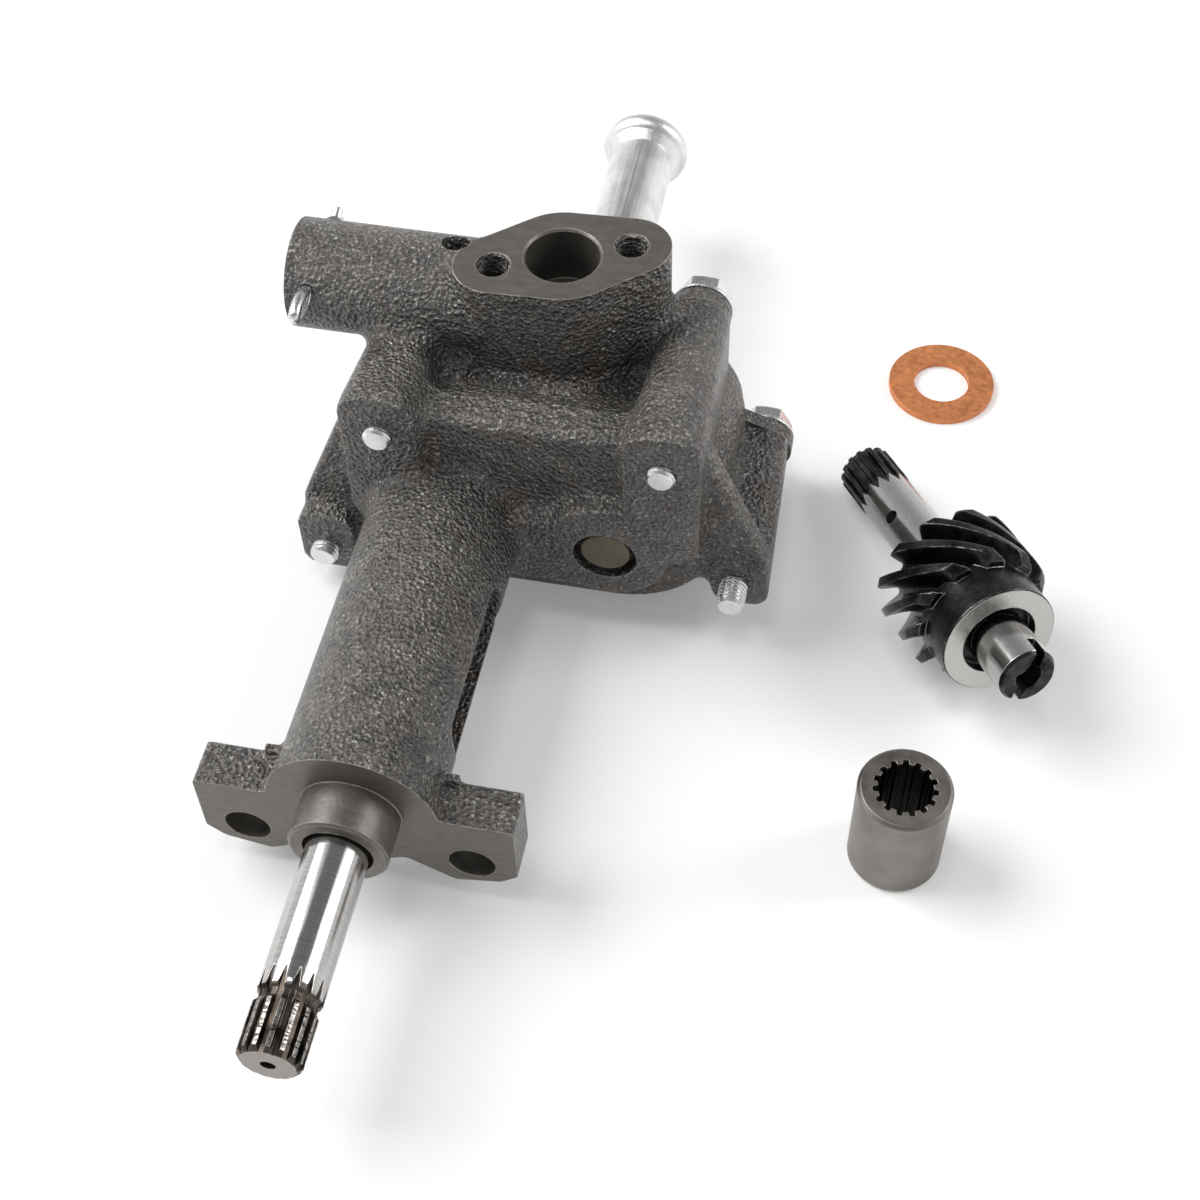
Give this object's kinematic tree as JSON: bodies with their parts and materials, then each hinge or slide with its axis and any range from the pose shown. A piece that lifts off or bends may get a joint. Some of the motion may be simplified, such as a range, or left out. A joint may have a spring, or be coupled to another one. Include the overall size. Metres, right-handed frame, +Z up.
{
  "type": "engine oil pump",
  "caption": "External-gear engine oil pump with a long drive sleeve, outlet flange, relief valve and pickup tube, beside its loose drive pinion, coupling sleeve and washer.",
  "frame": {"origin": "shaft axis at the mounting face of the ears", "axes": "+Y rearward along the shaft from the spline to the gears, +X to the right seen from the drive end with the outlet up, +Z up towards the outlet flange"},
  "size_m": [0.2134, 0.326, 0.0958],
  "materials": {
    "cast_iron": "rough cast",
    "shaft_steel": "ground",
    "ground_steel": "ground",
    "gear_steel": "machined",
    "zinc_steel": "zinc plated",
    "bush_bronze": "satin",
    "spring_steel": "dark",
    "tube_steel": "satin zinc",
    "coupling_steel": "satin",
    "black_steel": "black oxide, worn",
    "copper": "copper, lightly tarnished"
  },
  "bodies": {
    "pump": {"pump_body": "cast_iron", "pump_cover": "cast_iron", "cover_bolts": "zinc_steel", "cover_dowels": "ground_steel", "front_bush": "bush_bronze", "rear_bush": "bush_bronze", "cover_bush": "bush_bronze", "idler_pin": "ground_steel", "relief_seat_plate": "ground_steel", "relief_split_pin": "zinc_steel", "relief_spring": "spring_steel", "pickup_tube": "tube_steel"},
    "drive": {"drive_shaft": "shaft_steel", "drive_gear": "gear_steel", "drive_gear_key": "ground_steel"},
    "idler": {"idler_gear": "gear_steel", "idler_bush": "bush_bronze"},
    "relief": {"relief_piston": "ground_steel"},
    "coupling": {"coupling_sleeve": "coupling_steel"},
    "pinion": {"pinion_shaft": "shaft_steel", "pinion_gear": "black_steel"},
    "washer": {"thrust_washer": "copper"}
  },
  "joints": [
    {"name": "drive_spin", "type": "hinge", "parent": "pump", "child": "drive", "pos_m": [0, 0, 0], "axis": [0, 1, 0], "continuous": true},
    {"name": "idler_spin", "type": "hinge", "parent": "pump", "child": "idler", "pos_m": [0.045, 0, 0], "axis": [0, 1, 0], "continuous": true},
    {"name": "relief_slide", "type": "slide", "parent": "pump", "child": "relief", "axis": [-1, 0, 0], "range_m": [0, 0.014], "stiffness_N_per_m": 2000, "springref_m": -0.02, "deforming": ["relief_spring"]},
    {"name": "coupling_lift", "type": "slide", "parent": "pump", "child": "coupling", "axis": [0, 0, 1], "range_m": [0, 0.11]},
    {"name": "pinion_lift", "type": "slide", "parent": "pump", "child": "pinion", "axis": [0, 0, 1], "range_m": [0, 0.11]},
    {"name": "washer_lift", "type": "slide", "parent": "pump", "child": "washer", "axis": [0, 0, 1], "range_m": [0, 0.11]}
  ],
  "couplings": [
    {"joint": "idler_spin", "follows": "drive_spin", "ratio": -1}
  ]
}
